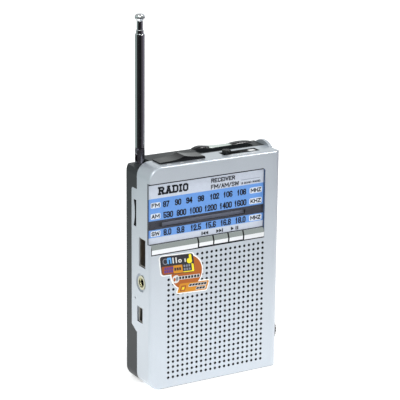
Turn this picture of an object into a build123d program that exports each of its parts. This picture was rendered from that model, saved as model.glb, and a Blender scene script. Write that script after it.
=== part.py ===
from build123d import *
import os

# Pocket shortwave receiver with a clear dial window, a perforated speaker front, side sockets
# and a folding telescopic antenna.
# Frame: origin at the centre of the base, X to the right across the front, Y from front to back,
# Z up. Lengths in millimetres. Depths are measured back from the front face.

# --- Case ---
width = 69.6
height = 106.0
depth = 23.5
wall = 1.8
seam = 12.0                       # depth of the joint between the two shells
seam_gap = 0.05                   # each shell stops this far short of the seam
left_corner = 6.0                 # corner radii of the front outline
right_corner = 2.2
front_edge = 1.1                  # edge radius round the front face
right_edge = 4.4                  # softer edge down the right of the front
rear_edge = 2.0
tongue_depth = 17.0               # the front shell reaches this far back on its side walls
tongue_bottom = 26.8
tongue_top = 93.8
ledge_x = -28.2                   # left of this the back shell's top is cut down to a ledge
ledge_z = 103.0

left = -width / 2
right = width / 2

# --- Speaker grille ---
pitch = 2.5
hole_radius = 0.65
columns = 21
rows = 24
grille_bottom = 5.3
dimple = 0.6
speaker_z = 26.55
speaker_radius = 20.0

# --- Dial window, trim bar and buttons ---
window_right = 25.75
window_bottom = 65.3
window_top = 98.65
window_corner = 1.4
lens_bottom = 70.4
lens_thickness = 1.2
plate_front = 1.35
plate_thickness = 0.8
pointer_slot = (-29.0, 16.0)
pointer_slot_z = (78.0, 79.9)
pointer_start = -28.0
bar_crease = 68.0
button_edges = (-9.6, -1.6, 6.4, 14.4)
button_gap = 0.36                 # half the space between neighbouring buttons
button_bottom = window_bottom + 0.4
guide_x = (-32.2, 19.2)           # strip behind the pointer
guide_y = (3.45, 3.85)
guide_z = (75.8, 81.6)
fit = 0.1
lens_gap = 0.22                   # space round the lens at its top and right

# --- Sticker ---
label_card = ((-29.8, 64.4), (-12.5, 63.6), (-11.3, 54.7), (-28.7, 55.4))
label_disc = ((-15.6, 55.0), 8.0)                    # middle and radius
label_strip = ((-19.1, 50.1), (-3.9, 49.3), (-5.2, 45.0), (-20.7, 45.7))
label_corners = (1.2, 0.6)        # corner radii of the card and of the strip
label_margin = 0.55

# --- Main board ---
board_front = 10.6
board_thickness = 1.2
board_back = board_front + board_thickness

# --- Tuning and volume ---
tuning_x = 22.0
tuning_z = 84.5
tuning_radius = 14.6
tuning_wheel_y = (6.6, 9.6)
groove_radius = 13.4
cord_radius = 0.25
cord_turn_radius = 13.7
cord_y = 7.1
pulley_radius = 1.5
pulleys = ((-30.4, 96.7), (-30.4, 76.6))
volume_x = 26.9
volume_z = 16.8
volume_radius = 9.0
volume_wheel_y = (3.6, 6.5)
shaft_play = 0.05

# --- Top switches ---
band_opening = ((-27.0, -3.7), (4.4, 11.9))
function_opening = ((6.2, 25.5), (4.6, 10.0))
plate_sink = 0.15                 # the plates lie this far under the top
knob_lift = 0.1                   # the knobs clear the top by this much
band_stem_x = (-16.4, -14.4)
band_travel = 5.0
band_slot = (band_stem_x[0] - 0.2, band_stem_x[1] + band_travel + 0.2)
function_knob_x = 9.1
function_knob_radius = 2.1
function_travel = 6.0
function_slot = (function_knob_x - 1.1, function_knob_x + function_travel + 1.1)

# --- Side sockets ---
usb_y = (4.0, 10.1)
usb_z = (58.3, 71.8)
jack_y = 8.2
jack_z = 50.5
mini_y = (6.6, 11.8)
mini_z = (31.2, 38.6)
card_z = (76.1, 88.5)
card_y = (12.6, 13.9)
card_scoop_radius = 17.0          # rounds the slot's back edge into a crescent
led_y = 13.7
led_z = 41.8

# --- Antenna ---
antenna_x = -31.8
antenna_y = 14.7
fold_z = 109.9
turret_radius = 2.2
tube_radii = (2.15, 1.7, 1.35)    # outer radii of the three tubes, largest first
tube_tops = (163.7, 165.4, 169.5)
tube_starts = (112.3, 115.6, 116.4)
slide_play = 0.05
rod_radius = 0.95
cap_radius = 2.2
cap_neck = 1.4                    # the cap narrows to this radius at its lower end
cap_flare = 1.1
cap_top = 172.6
collar_radius = 2.65              # low ring on the ledge round the turret
collar_top = 105.0

# --- Back of the case ---
trough_x = (-1.5, 27.8)
trough_y = (13.0, 18.8)
trough_floor = 103.0
ridge_y = (18.6, 22.9)
ridge_edge = 1.2
ear_x = (32.7, 34.2)
bay_x = 17.6                      # half width of the battery bay
bay_z = (8.6, 63.0)
bay_floor = 15.4
door_x = 18.8
door_z = (7.2, 66.4)
door_inner = 21.85
door_pin_radius = 0.45
door_pin_y = 22.6
door_pin_z = door_z[0] + 0.9
door_turn_radius = 1.15           # hollow that the door's lower edge turns in

case_screw_places = ((-27.5, 7.0), (24.5, 4.2), (29.6, 61.0))
board_screw_places = ((-15.0, 55.0), (16.0, 55.0), (29.5, 33.0), (-26.8, 43.6))


def at(x, y, z):
    """A place given as distance right of centre, depth behind the front face and height."""
    return Pos(x, y - depth / 2, z)


def block(xs, ys, zs):
    """A box between two corners."""
    middle = at(sum(xs) / 2, sum(ys) / 2, sum(zs) / 2)
    return middle * Box(xs[1] - xs[0], ys[1] - ys[0], zs[1] - zs[0])


def rod_x(radius, xs, y, z):
    """A round rod along X."""
    return at(sum(xs) / 2, y, z) * Rot(0, 90, 0) * Cylinder(radius, xs[1] - xs[0])


def rod_y(radius, ys, x, z):
    """A round rod along Y."""
    return at(x, sum(ys) / 2, z) * Rot(90, 0, 0) * Cylinder(radius, ys[1] - ys[0])


def rod_z(radius, zs, x, y):
    """A round rod along Z."""
    return at(x, y, sum(zs) / 2) * Cylinder(radius, zs[1] - zs[0])


def front_face(sketch, y_from, y_to):
    """A sketch drawn as seen from the front, carried back between two depths."""
    plane = Plane(origin=(0, y_to - depth / 2, 0), x_dir=(1, 0, 0), z_dir=(0, -1, 0))
    return extrude(plane * sketch, y_to - y_from)


def side_profile(points, xs):
    """A closed outline of (depth, height) points, carried along X."""
    plane = Plane(origin=(xs[0], -depth / 2, 0), x_dir=(0, 1, 0), z_dir=(1, 0, 0))
    return extrude(plane * make_face(Polyline(*points, close=True)), xs[1] - xs[0])


def raised(points, base):
    """A smooth line through (x, rise) points above a base height."""
    return Spline(*[(x, base + rise) for x, rise in points])


def case_form(inset):
    """The outer form of the whole case, drawn in by an inset on every side."""
    corner = left_corner - inset
    tight = max(right_corner - inset, 0.8)
    outline = Pos(0, height / 2) * Rectangle(width - 2 * inset, height - 2 * inset)
    outline = fillet(outline.vertices().group_by(Axis.X)[0], corner)
    outline = fillet(outline.vertices().group_by(Axis.X)[-1], tight)
    form = front_face(outline, inset, depth - inset)
    if inset == 0:
        form = fillet(form.faces().sort_by(Axis.Y)[0].edges(), front_edge)
        form = fillet(form.faces().sort_by(Axis.Y)[-1].edges(), rear_edge)
    plan = Rectangle(width - 2 * inset, depth - 2 * inset)
    front_right = plan.vertices().sort_by(Axis.Y)[:2].sort_by(Axis.X)[-1]
    plan = fillet(front_right, right_edge - inset)
    return form & extrude(plan, height)


def side_tongues(clearance):
    """The parts of the side walls that belong to the front shell behind the seam."""
    step = 2.0
    bottom = tongue_bottom - clearance
    top = tongue_top + clearance
    back = tongue_depth + clearance
    points = [
        (seam - 0.5, bottom - step * 0.6),
        (seam + 0.6, bottom - step * 0.5),
        (back, bottom + step * 0.7),
        (back, top - 0.9),
        (back - 0.9, top),
        (seam - 0.5, top),
    ]
    slab = side_profile(points, (left - 1, right + 1))
    return slab & (case_form(0) - case_form(wall))


def grille_sketch(through):
    """Circles of the grille: the octagon in front of the speaker, or the rest."""
    middle = (columns - 1) / 2
    centre_row = (speaker_z - grille_bottom) / pitch
    places = []
    for column in range(columns):
        for row in range(rows):
            across = abs(column - middle)
            up = abs(row - centre_row)
            open_here = across <= 8 and up <= 7.6 and across + up <= 11.6
            if open_here == through:
                places.append((column * pitch - middle * pitch, grille_bottom + row * pitch))
    return Sketch() + [Pos(*place) * Circle(hole_radius) for place in places]


def window_cut():
    """The opening for the lens, the trim bar and the buttons, run out through the left side."""
    bar = block((left + 0.8, window_right), (-1, wall + 1), (window_bottom, lens_bottom + fit))
    lens = block((left - 1, window_right), (-1, plate_front + plate_thickness + fit),
                 (lens_bottom - fit, window_top))
    corner = lens.edges().filter_by(Axis.Y).group_by(Axis.X)[-1].sort_by(Axis.Z)[-1]
    return bar + fillet(corner, window_corner)


def screw_bosses(places, ys, radius):
    """Round posts for screws."""
    return Part() + [rod_y(radius, ys, x, z) for x, z in places]


def make_front_shell():
    """Silver front half with the grille, the window and the side sockets."""
    shell = case_form(0) & block((left - 1, right + 1), (-1, seam - seam_gap), (-1, height + 1))
    shell -= case_form(wall)
    shell += side_tongues(0)
    shell += screw_bosses(case_screw_places, (wall - 0.2, seam), 2.3)
    shell += screw_bosses(board_screw_places, (wall - 0.2, board_front), 2.0)
    ring = rod_y(speaker_radius + 1.2, (wall - 0.2, 3.4), 0, speaker_z)
    shell += ring - rod_y(speaker_radius + 0.1, (0, 4), 0, speaker_z)
    catch = block((-2.6, 4.8), (seam - 1.1, seam - seam_gap), (103.0, 104.5))
    shell += catch
    web = block((left + 0.9, ledge_x + 0.6), (seam - 1.1, seam - seam_gap), (101.6, height - 1))
    shell += web & case_form(0)
    shell += end_ear()
    shell -= screw_bosses(case_screw_places, (4.0, seam + 1), 0.8)
    shell -= screw_bosses(board_screw_places, (4.0, seam), 0.7)
    shell -= window_cut()
    shell -= front_face(grille_sketch(True), -1, wall + 1)
    shell -= front_face(grille_sketch(False), -1, dimple)
    for xs, ys in (band_opening, function_opening):
        shell -= block(xs, ys, (height - wall - 1, height + 1))
    shell -= side_sockets()
    shell -= block((right - 4, right + 1), (volume_wheel_y[0] - 0.5, volume_wheel_y[1] + 0.5),
                   (volume_z - volume_radius - 0.6, volume_z + volume_radius + 0.6))
    shell -= block((right - 4, right + 1), (tuning_wheel_y[0] - 0.5, tuning_wheel_y[1] + 0.5),
                   (tuning_z - 9.6, tuning_z + 9.6))
    return shell


def side_sockets():
    """Cuts through the left side wall for the sockets, the card slot and the lamp."""
    near = (left - 1, left + wall + 1)
    cuts = block(near, usb_y, usb_z) + block(near, mini_y, mini_z)
    cuts += rod_x(4.4, (left - 1, left + 0.8), jack_y, jack_z)
    cuts += rod_x(3.3, near, jack_y, jack_z)
    cuts += rod_x(0.5, near, led_y, led_z)
    span = block(near, (card_y[0], card_y[1] + 1.3), card_z)
    scoop = rod_x(card_scoop_radius, near, card_y[1] + card_scoop_radius, sum(card_z) / 2)
    return cuts + (span - scoop)


def end_ear():
    """Arched ear at the right end of the top that the folded antenna's tip lies behind."""
    arch = rod_x(10.0, ear_x, 14.0, height - 8.0)
    return arch & block(ear_x, (8.0, 20.0), (height - 2.0, height + 3))


def finger_trough():
    """Hollow in the top of the back shell for lifting the folded antenna."""
    hollow = block(trough_x, trough_y, (trough_floor, height + 4))
    ends = hollow.edges().filter_by(Axis.Z)
    return fillet(ends, 2.2)


def rear_ridge():
    """Low ridge along the back edge of the top: a lump, a dip for a finger and a long hump."""
    crest = [(-1.9, -0.6), (0.2, 0.75), (2.6, 1.15), (6.2, 0.75), (9.0, 0.5), (13.0, 0.35),
             (17.4, 0.25), (20.4, 0.6), (25.0, 0.8), (29.6, 0.35), (32.6, -0.6)]
    line = raised(crest, height)
    foot = Polyline(line @ 1, (crest[-1][0], height - 1), (crest[0][0], height - 1), line @ 0)
    ridge = front_face(make_face(line + foot), *ridge_y)
    crests = ridge.faces().sort_by(Axis.Z)[-1].edges().filter_by(GeomType.BSPLINE)
    return fillet(crests, ridge_edge)


def make_back_shell():
    """Charcoal rear half with the antenna mounting and the battery bay."""
    form = case_form(0)
    rear = block((left - 1, right + 1), (seam + seam_gap, depth + 1), (-1, height + 1))
    shell = (form & rear) - case_form(wall)
    shell -= side_tongues(0.06)
    shell += rear_ridge()
    trough_walls = block((trough_x[0] - 1.2, trough_x[1] + 1.2),
                         (seam + seam_gap, trough_y[1] + 1.2), (trough_floor - 1.2, height - 1))
    shell += trough_walls & form
    bay = block((-bay_x - 1.2, bay_x + 1.2), (bay_floor - 1.2, depth - 0.9),
                (bay_z[0] - 1.2, bay_z[1] + 1.2))
    shell += bay
    shell += block((left + 0.9, ledge_x), (seam + seam_gap, 18.4), (98.4, ledge_z)) & form
    shell += block((left + 0.9, ledge_x), (18.3, depth), (ledge_z - wall, ledge_z)) & form
    shell += block((ledge_x, ledge_x + wall), (seam + seam_gap, depth), (98.4, height)) & form
    shell += screw_bosses(case_screw_places, (seam, depth - 1), 2.3)
    shell -= block((left - 1, ledge_x), (seam, depth + 1), (ledge_z, height + 1))
    shell += rod_z(collar_radius, (ledge_z - 0.5, collar_top), antenna_x, antenna_y)
    shell -= finger_trough()
    shell -= block((-bay_x, bay_x), (bay_floor, depth + 1), bay_z)
    shell -= block((-door_x, door_x), (door_inner, depth + 1), door_z)
    for side in (-1, 1):
        ends = sorted((side * (door_x - 0.1), side * (door_x + 1.3)))
        shell -= rod_x(door_pin_radius + shaft_play, ends, door_pin_y, door_pin_z)
    shell -= rod_x(door_turn_radius, (-door_x, door_x), door_pin_y, door_pin_z)
    shell -= rod_z(turret_radius + slide_play, (98.0, height + 1), antenna_x, antenna_y)
    shell -= rod_z(2.7, (96.0, 98.3), antenna_x, antenna_y)
    shell -= screw_bosses(case_screw_places, (seam - 1, depth + 1), 1.1)
    shell -= screw_bosses(case_screw_places, (depth - 3.4, depth + 1), 2.0)
    shell -= side_tongues(0.06)
    return shell - block((ear_x[0] - 0.1, ear_x[1] + 0.1), (7.9, 20.05), (height - 2.1, height + 4))


def make_dial_lens():
    """Clear window, open to the left edge."""
    lens = block((left + 0.05, window_right - lens_gap), (0.05, lens_thickness),
                 (lens_bottom, window_top - lens_gap))
    corner = lens.edges().filter_by(Axis.Y).group_by(Axis.X)[-1].sort_by(Axis.Z)[-1]
    lens = fillet(corner, window_corner - lens_gap)
    end = lens.edges().filter_by(Axis.Z).group_by(Axis.X)[0].sort_by(Axis.Y)[0]
    return fillet(end, 0.6)


def make_dial_plate():
    """Printed scale plate behind the lens, with the slot that shows the pointer."""
    back = plate_front + plate_thickness
    plate = block((left + 0.1, window_right - fit), (plate_front, back),
                  (lens_bottom, window_top - fit))
    corner = plate.edges().filter_by(Axis.Y).group_by(Axis.X)[-1].sort_by(Axis.Z)[-1]
    plate = fillet(corner, window_corner - fit)
    return plate - block(pointer_slot, (0, 5), pointer_slot_z)


def bar_profile(bottom):
    """Section of the trim bar and the buttons: two facets meeting at a crease."""
    return [
        (1.5, bottom), (0.4, bottom), (-0.15, bottom + 0.45), (-0.35, bar_crease),
        (0.55, lens_bottom - 0.2), (1.5, lens_bottom - 0.2),
    ]


def make_trim_bar():
    """Bright bar under the lens, in two lengths either side of the buttons."""
    section = bar_profile(window_bottom + fit)
    left_length = side_profile(section, (left + 1.0, button_edges[0] - button_gap))
    right_length = side_profile(section, (button_edges[-1] + button_gap, window_right - lens_gap))
    return [left_length, right_length]


def make_button(index):
    """One push button of the row, with its stem."""
    xs = (button_edges[index] + button_gap, button_edges[index + 1] - button_gap)
    cap = side_profile(bar_profile(button_bottom), xs)
    middle = sum(xs) / 2
    stem = block((middle - 1.2, middle + 1.2), (1.4, 6.4), (66.6, 69.4))
    return cap + stem


def make_speaker_frame():
    """Pressed basket: a flat rim, a tapered wall and a seat for the magnet."""
    outer = Polyline((20.0, 0), (20.0, 1.1), (18.6, 1.1), (10.0, 6.2), (0, 6.2), (0, 5.4),
                     (9.6, 5.4), (17.8, 0.5), (17.8, 0), close=True)
    section = Plane.XZ * make_face(outer)
    basket = revolve(section, Axis.Z)
    return at(0, wall + 0.15, speaker_z) * Rot(-90, 0, 0) * basket


def make_speaker_magnet():
    """Magnet pot behind the basket."""
    return rod_y(9.0, (8.2, 12.4), 0, speaker_z) + rod_y(7.6, (12.4, 13.4), 0, speaker_z)


def make_speaker_cone():
    """Paper cone with its dust cap."""
    outline = Polyline((17.6, 0.05), (17.6, 0.35), (16.4, 0.45), (5.0, 4.6), (0, 3.2), (0, 2.9),
                       (4.9, 4.2), (16.2, 0.1), close=True)
    cone = revolve(Plane.XZ * make_face(outline), Axis.Z)
    return at(0, wall + 0.15, speaker_z) * Rot(-90, 0, 0) * cone


def make_main_board():
    """U-shaped circuit board that leaves room for the speaker."""
    ys = (board_front, board_back)
    board = block((-32.6, 32.6), ys, (48.0, 101.3))
    board += block((-32.6, -21.6), ys, (27.6, 48.5))
    board += block((21.6, 32.6), ys, (7.0, 48.5))
    board -= rod_y(speaker_radius + 0.8, (9, 14), 0, speaker_z)
    board -= screw_bosses(board_screw_places, (9, 14), 1.1)
    board -= screw_bosses(case_screw_places, (9, 14), 2.6)
    board -= rod_y(3.3, (9, 14), tuning_x, tuning_z)
    board -= rod_z(3.0, (95.0, 102.0), antenna_x, antenna_y)
    return board


def make_usb_socket_shell():
    """Folded steel shell of the full-size socket."""
    inset = 0.15
    ys = (usb_y[0] + inset, usb_y[1] - inset)
    zs = (usb_z[0] + inset, usb_z[1] - inset)
    box = block((left + 0.4, -20.2), ys, zs)
    sheet = 0.35
    inner = block((left, -20.8), (ys[0] + sheet, ys[1] - sheet), (zs[0] + sheet, zs[1] - sheet))
    return box - inner


def make_usb_socket_tongue():
    """Plastic tongue with its contact strips."""
    tongue = block((left + 1.6, -20.8), (5.2, 7.0), (usb_z[0] + 1.1, usb_z[1] - 1.1))
    pitch_z = 2.2
    first = sum(usb_z) / 2 - 1.5 * pitch_z
    for index in range(4):
        z = first + index * pitch_z
        tongue -= block((left + 1.5, -22.0), (6.85, 7.1), (z - 0.5, z + 0.5))
    return tongue


def make_mini_usb_socket():
    """Charging socket: a shell with its tongue."""
    ys = (mini_y[0] + 0.15, board_front - 0.05)
    zs = (mini_z[0] + 0.15, mini_z[1] - 0.15)
    socket = block((left + 0.4, -26.2), ys, zs)
    socket -= block((left, -27.2), (ys[0] + 0.35, ys[1] - 0.35), (zs[0] + 0.35, zs[1] - 0.35))
    return socket + block((left + 1.6, -27.0), (8.1, 9.0), (mini_z[0] + 1.6, mini_z[1] - 1.6))


def make_card_socket():
    """Memory card socket on the back of the board, behind the crescent slot."""
    socket = block((-32.9, -18.4), (board_back + 0.02, 14.0), (card_z[0] - 0.8, card_z[1] + 0.8))
    return socket - block((-34, -19.6), (card_y[0] - 0.1, 13.6), (card_z[0] + 0.2, card_z[1] - 0.2))


def make_headphone_jack_body():
    """Socket for a 3.5 mm plug."""
    body = block((-32.8, -20.6), (5.4, board_front - 0.05), (47.5, 53.5))
    return body - rod_x(1.8, (-34, -21.6), jack_y, jack_z)


def make_headphone_jack_ring():
    """Bright nut round the socket."""
    ring = rod_x(3.25, (left + 0.25, -32.85), jack_y, jack_z)
    ring -= rod_x(2.3, (left - 1, left + 1.0), jack_y, jack_z)
    return ring - rod_x(1.8, (left - 1, -32), jack_y, jack_z)


def make_charge_led():
    """Charging lamp with its nose in the hole of the side wall."""
    lamp = block((-32.8, -30.4), (12.0, 14.9), (40.4, 43.2))
    return lamp + rod_x(0.42, (left + 0.35, -32.6), led_y, led_z)


def make_tuning_capacitor():
    """Variable capacitor on the back of the board."""
    half = 10.0
    body = block((tuning_x - half, tuning_x + half), (board_back + 0.02, 18.4),
                 (tuning_z - half, tuning_z + half))
    return body - rod_y(3.0 + shaft_play, (board_back - 1, 14.0), tuning_x, tuning_z)


def make_tuning_wheel():
    """Thumbwheel with a groove for the dial cord and a coined rim."""
    front_y, back_y = tuning_wheel_y
    wheel = rod_y(groove_radius, (front_y, back_y), tuning_x, tuning_z)
    wheel += rod_y(tuning_radius, (front_y + 1.0, back_y), tuning_x, tuning_z)
    wheel -= rim_notches(tuning_x, tuning_z, tuning_radius, (front_y + 0.9, back_y + 1), 60)
    return wheel - rod_y(3.0, (front_y + 1.2, back_y + 1), tuning_x, tuning_z)


def rim_notches(x, z, radius, ys, count):
    """Small round notches along the rim of a thumbwheel."""
    notch = 0.32
    cuts = Part()
    for place in PolarLocations(radius + 0.1, count):
        where = place.position
        cuts += rod_y(notch, ys, x + where.X, z + where.Y)
    return cuts


def make_tuning_shaft():
    """Spindle that carries the tuning wheel into the capacitor."""
    return rod_y(3.0, (tuning_wheel_y[0] + 1.2, 13.8), tuning_x, tuning_z)


def make_volume_wheel():
    """Thumbwheel at the lower right."""
    front_y, back_y = volume_wheel_y
    wheel = rod_y(volume_radius, (front_y, back_y), volume_x, volume_z)
    wheel -= rim_notches(volume_x, volume_z, volume_radius, (front_y - 1, back_y + 1), 40)
    return wheel - rod_y(1.6, (front_y + 1.0, back_y + 1), volume_x, volume_z)


def make_volume_shaft():
    """Spindle of the volume control."""
    return rod_y(1.6, (volume_wheel_y[0] + 1.0, 9.8), volume_x, volume_z)


def make_volume_pot():
    """Volume potentiometer on the front of the board."""
    body = rod_y(4.6, (7.0, board_front - 0.02), volume_x, volume_z)
    return body - rod_y(1.6 + shaft_play, (6, 10.0), volume_x, volume_z)


def make_dial_pulleys():
    """Two grooved pulleys that turn the dial cord at the left."""
    wheels = []
    for x, z in pulleys:
        wheel = rod_y(pulley_radius - 0.3, (6.3, 7.9), x, z)
        wheel += rod_y(pulley_radius + 0.3, (7.5, 7.9), x, z)
        wheel += rod_y(pulley_radius + 0.3, (6.3, 6.7), x, z)
        wheel += rod_y(0.7, (7.9, board_front), x, z)
        wheels.append(wheel)
    return wheels


def make_dial_cord():
    """Closed cord round the wheel groove and the pulleys."""
    rounds = [Pos(tuning_x, tuning_z) * Circle(cord_turn_radius)]
    rounds += [Pos(x, z) * Circle(pulley_radius) for x, z in pulleys]
    loop = make_hull([circle.edge() for circle in rounds])
    band = offset(loop, cord_radius) - offset(loop, -cord_radius)
    return front_face(band, cord_y - cord_radius, cord_y + cord_radius)


def make_dial_pointer():
    """Pointer behind the plate, hung on the upper run of the cord."""
    back = plate_front + plate_thickness
    x = pointer_start
    run_z = tuning_z + cord_turn_radius
    play = cord_radius + 0.05
    arm = block((x - 0.8, x + 0.8), (back + 0.3, back + 1.1), (77.0, run_z + 0.8))
    nib = block((x - 0.4, x + 0.4), (plate_front + 0.35, back + 0.4), (78.2, 79.7))
    clip = block((x - 0.8, x + 0.8), (back + 1.0, cord_y + 0.45), (run_z - 0.8, run_z + 0.8))
    clip -= block((x - 1, x + 1), (cord_y - play, cord_y + play), (run_z - play, run_z + play))
    return arm + nib + clip


def make_pointer_guide():
    """Strip behind the slot that steadies the pointer, on two feet against the plate."""
    foot_y = (plate_front + plate_thickness + 0.02, guide_y[1])
    guide = block(guide_x, guide_y, guide_z)
    for x in (guide_x[0] + 0.6, guide_x[1] - 0.6):
        guide += block((x - 0.6, x + 0.6), foot_y, guide_z)
    return guide


def make_switch_plate(opening, slot):
    """Black plate that fills an opening in the top, with the slot of the slider."""
    xs, ys = opening
    inside = ((xs[0] + 0.05, xs[1] - 0.05), (ys[0] + 0.05, ys[1] - 0.05))
    plate = block(*inside, (height - wall, height - plate_sink))
    middle = sum(ys) / 2
    return plate - block(slot, (middle - 0.8, middle + 0.8), (height - 3, height + 1))


def make_switch_body(xs, slot, ys):
    """Slide switch on the front of the board."""
    body = block(xs, (5.0, board_front - 0.02), (99.6, height - wall - 0.05))
    middle = sum(ys) / 2
    return body - block(slot, (middle - 0.9, middle + 0.9), (101.4, height))


def make_band_switch_knob():
    """Long sliding plate with a finger ridge across it, low at its left and dished at its right."""
    low = height + knob_lift
    x_left, x_right = band_opening[0]
    ridge_x = sum(band_stem_x) / 2 + 0.8
    crest = [(x_left, 0.55), (x_left + 4.4, 0.75), (ridge_x - 3.4, 1.15), (ridge_x, 2.35)]
    slope = [(ridge_x, 2.35), (ridge_x + 3.0, 1.7), (ridge_x + 6.6, 1.25), (x_right - 0.5, 1.0)]
    rise = raised(crest, low)
    fall = raised(slope, low)
    base = Polyline(fall @ 1, (x_right, low + 0.4), (x_right, low), (x_left, low), rise @ 0)
    ys = (band_opening[1][0] + 0.1, band_opening[1][1] - 0.1)
    plate = front_face(make_face(rise + fall + base), *ys)
    middle = sum(ys) / 2
    stem = block(band_stem_x, (middle - 0.6, middle + 0.6), (101.8, low + 0.3))
    return plate + stem


def make_function_switch_knob():
    """Round thumb button on a slider, with grip lines across its top."""
    low = height + knob_lift
    x = function_knob_x
    y = sum(function_opening[1]) / 2
    button = rod_z(function_knob_radius, (low, low + 1.6), x, y)
    button = fillet(button.edges().group_by(Axis.Z)[-1], 0.5)
    for offset_x in (-1.2, -0.4, 0.4, 1.2):
        button -= block((x + offset_x - 0.15, x + offset_x + 0.15), (y - 3, y + 3), (low + 1.35, low + 2))
    return button + block((x - 0.9, x + 0.9), (y - 0.6, y + 0.6), (101.8, low + 0.3))


def make_tact_switches():
    """Push switches behind the three buttons."""
    switches = []
    for index in range(3):
        middle = (button_edges[index] + button_edges[index + 1]) / 2
        body = block((middle - 2.2, middle + 2.2), (8.4, board_front - 0.02), (65.8, 70.2))
        switches.append(body + rod_y(0.9, (7.35, 8.5), middle, 68.0))
    return switches


def make_ferrite_rod():
    """Medium-wave aerial rod."""
    return rod_x(2.2, (-24.0, 27.0), 16.2, 97.6)


def make_ferrite_coil():
    """Coil on the aerial rod."""
    return rod_x(2.9, (-8.0, 9.0), 16.2, 97.6) - rod_x(2.2, (-9.0, 10.0), 16.2, 97.6)


def make_battery():
    """Flat rechargeable cell."""
    cell = block((-17.1, 17.1), (bay_floor + 0.3, bay_floor + 6.0), (9.0, 62.0))
    return fillet(cell.edges().filter_by(Axis.Z), 1.6)


def make_battery_contacts():
    """Three spring contacts at the top of the bay."""
    return [block((x - 1.0, x + 1.0), (17.0, 20.0), (62.05, 62.9)) for x in (-8.0, -4.0, 0.0)]


def make_board_chips():
    """Receiver and player circuits on the back of the board."""
    ys = (board_back + 0.02, 13.5)
    places = (((-9.0, 0.6), (78.0, 87.6)), ((-13.0, -6.0), (68.6, 73.4)), ((2.0, 8.0), (69.0, 73.0)))
    return [block(xs, ys, zs) for xs, zs in places]


def make_board_capacitors():
    """Can capacitors standing on the back of the board."""
    places = ((6.4, 80.0), (6.4, 87.0), (27.0, 57.0), (-27.6, 33.6))
    return [rod_y(2.4, (board_back + 0.02, 14.2), x, z) for x, z in places]


def make_case_screws():
    """Screws that hold the two shells together."""
    screws = []
    for x, z in case_screw_places:
        head = rod_y(1.9, (depth - 3.38, depth - 1.9), x, z)
        shank = rod_y(0.75, (6.0, depth - 3.3), x, z)
        cross = block((x - 1.2, x + 1.2), (depth - 2.5, depth), (z - 0.25, z + 0.25))
        cross += block((x - 0.25, x + 0.25), (depth - 2.5, depth), (z - 1.2, z + 1.2))
        screws.append(head + shank - cross)
    return screws


def make_board_screws():
    """Screws that hold the board to the front shell's posts."""
    screws = []
    for x, z in board_screw_places:
        head = rod_y(1.8, (board_back, board_back + 1.1), x, z)
        screws.append(head + rod_y(0.65, (6.0, board_back + 0.1), x, z))
    return screws


def make_antenna_bracket():
    """Sprung strip that joins the turret to the board."""
    strip = block((antenna_x - 1.0, antenna_x + 5.0), (board_back + 0.05, 17.6), (95.6, 96.4))
    return strip - rod_z(1.1, (95, 97), antenna_x, antenna_y)


def make_antenna_turret():
    """Swivelling post with the fork that holds the antenna's foot."""
    post = rod_z(turret_radius, (98.2, fold_z + 2.1), antenna_x, antenna_y)
    post -= block((antenna_x - 3, antenna_x + 3), (antenna_y - 1.0, antenna_y + 1.0),
                  (height + 0.1, fold_z + 3))
    eye = rod_y(2.15, (antenna_y - 3, antenna_y + 3), antenna_x, fold_z)
    below = block((antenna_x - 3, antenna_x + 3), (antenna_y - 3, antenna_y + 3), (97, fold_z))
    post = post & (eye + below)
    post -= rod_y(0.8, (antenna_y - 3, antenna_y + 3), antenna_x, fold_z)
    return post - rod_z(0.9, (97, 103), antenna_x, antenna_y)


def make_antenna_base_screw():
    """Screw and washer that keep the turret in the case."""
    washer = rod_z(2.6, (97.2, 98.2), antenna_x, antenna_y)
    return washer + rod_z(0.9, (98.1, 102.6), antenna_x, antenna_y)


def make_antenna_pivot_pin():
    """Rivet through the fork."""
    return rod_y(0.8, (antenna_y - 2.1, antenna_y + 2.1), antenna_x, fold_z)


def make_antenna_foot():
    """Flattened foot of the antenna, with the plug that closes the largest tube."""
    thick = 0.95
    eye = rod_y(2.0, (antenna_y - thick, antenna_y + thick), antenna_x, fold_z)
    neck = block((antenna_x - 1.9, antenna_x + 1.9), (antenna_y - thick, antenna_y + thick),
                 (fold_z, tube_starts[0]))
    neck -= rod_y(0.8 + slide_play, (antenna_y - 3, antenna_y + 3), antenna_x, fold_z)
    eye -= rod_y(0.8 + slide_play, (antenna_y - 3, antenna_y + 3), antenna_x, fold_z)
    plug = rod_z(tube_radii[1], (tube_starts[0], tube_starts[1] - 0.6),
                 antenna_x, antenna_y)
    return eye + neck + plug


def make_tube(index):
    """One tube of the telescope; the next one slides inside it."""
    outer = tube_radii[index]
    inner = (tube_radii + (rod_radius,))[index + 1] + slide_play
    zs = (tube_starts[index], tube_tops[index])
    tube = rod_z(outer, zs, antenna_x, antenna_y)
    rim = tube.edges().group_by(Axis.Z)[-1]
    tube = fillet(rim, 0.15)
    return tube - rod_z(inner, (zs[0] - 1, zs[1] + 1), antenna_x, antenna_y)


def make_antenna_tip_rod():
    """Innermost rod."""
    return rod_z(rod_radius, (tube_starts[2] + 0.8, tube_tops[2] + 1.6), antenna_x, antenna_y)


def make_antenna_tip_cap():
    """Domed cap on the end of the innermost rod, drawn in towards its neck."""
    bottom = tube_tops[2] + 0.05
    cap = rod_z(cap_radius, (bottom + cap_flare, cap_top), antenna_x, antenna_y)
    cap = fillet(cap.edges().group_by(Axis.Z)[-1], 1.4)
    cap += at(antenna_x, antenna_y, bottom + cap_flare / 2) * Cone(cap_neck, cap_radius, cap_flare)
    return cap - rod_z(rod_radius, (bottom - 1, bottom + 1.55), antenna_x, antenna_y)


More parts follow.
